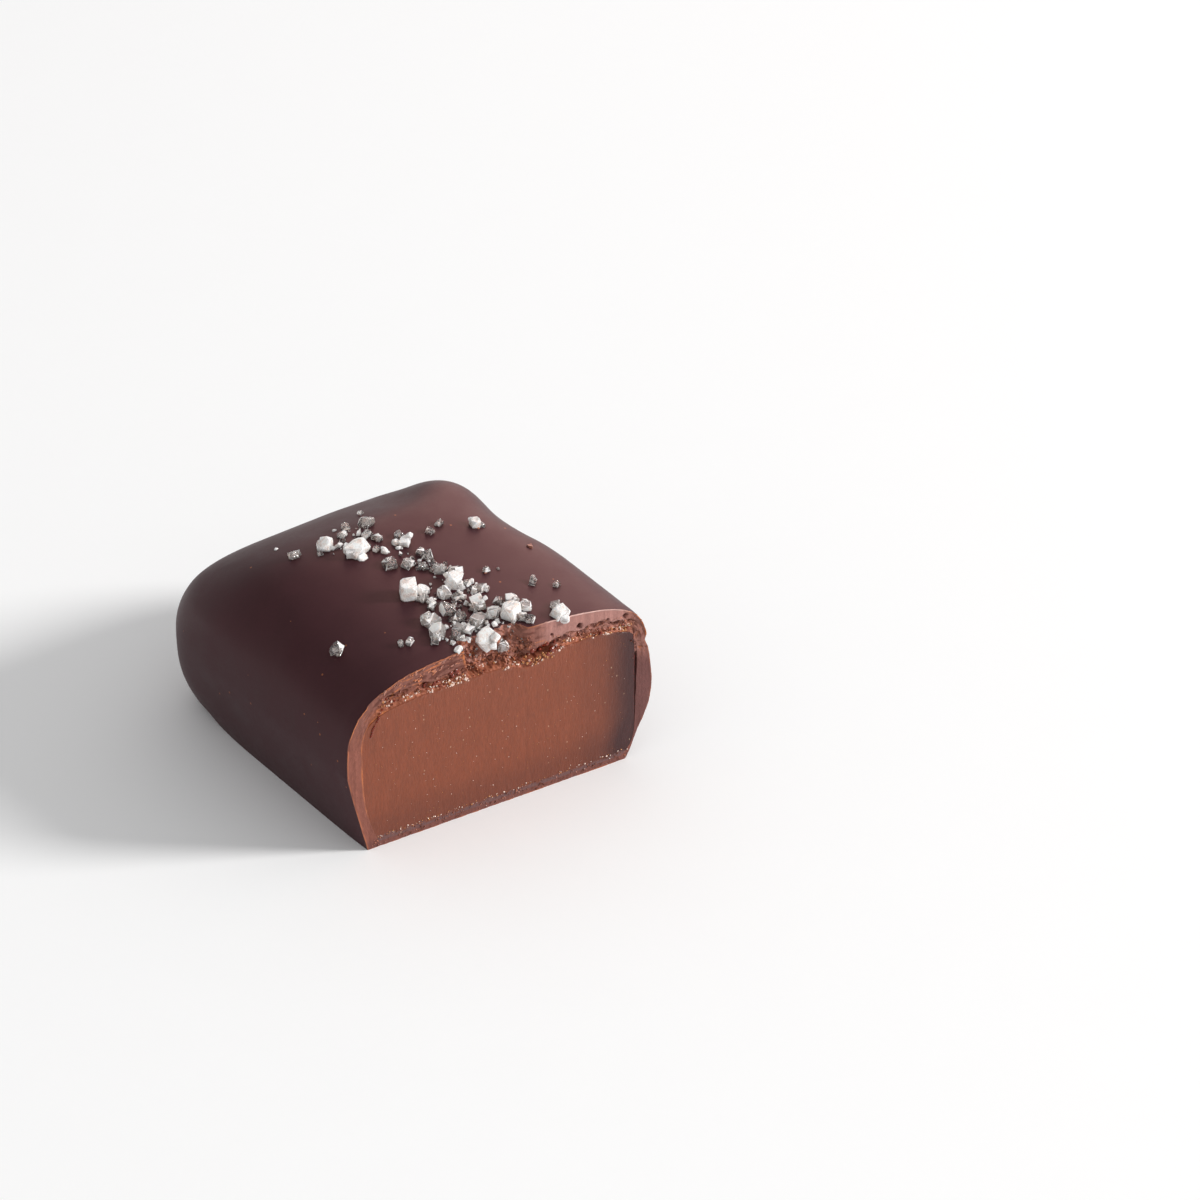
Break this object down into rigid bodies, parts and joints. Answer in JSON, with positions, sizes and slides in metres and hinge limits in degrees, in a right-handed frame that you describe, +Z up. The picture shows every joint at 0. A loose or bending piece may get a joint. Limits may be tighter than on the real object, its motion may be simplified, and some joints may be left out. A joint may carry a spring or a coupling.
{
  "type": "salted caramel candy",
  "caption": "Cut half of a coated caramel: a rounded dark chocolate block with a flat base, a caramel filling that shows at the cut, and coarse salt crystals on top",
  "frame": {"origin": "Middle of the bounding box's underside, on the surface the candy rests on", "axes": "+Z is up from the base to the salted top, -Y is the way the cut face looks (the knife was turned about 6 degrees from square), +Y runs to the rounded back end, +X is the right side as seen from the cut"},
  "size_m": [0.026, 0.0293, 0.0167],
  "materials": {
    "dark_chocolate": "satin dark chocolate; the cut edge is lighter and matt",
    "caramel": "smooth semi-gloss caramel with fine knife marks"
  },
  "bodies": {
    "root": {"chocolate_shell": "dark_chocolate", "caramel_filling": "caramel"}
  },
  "joints": []
}
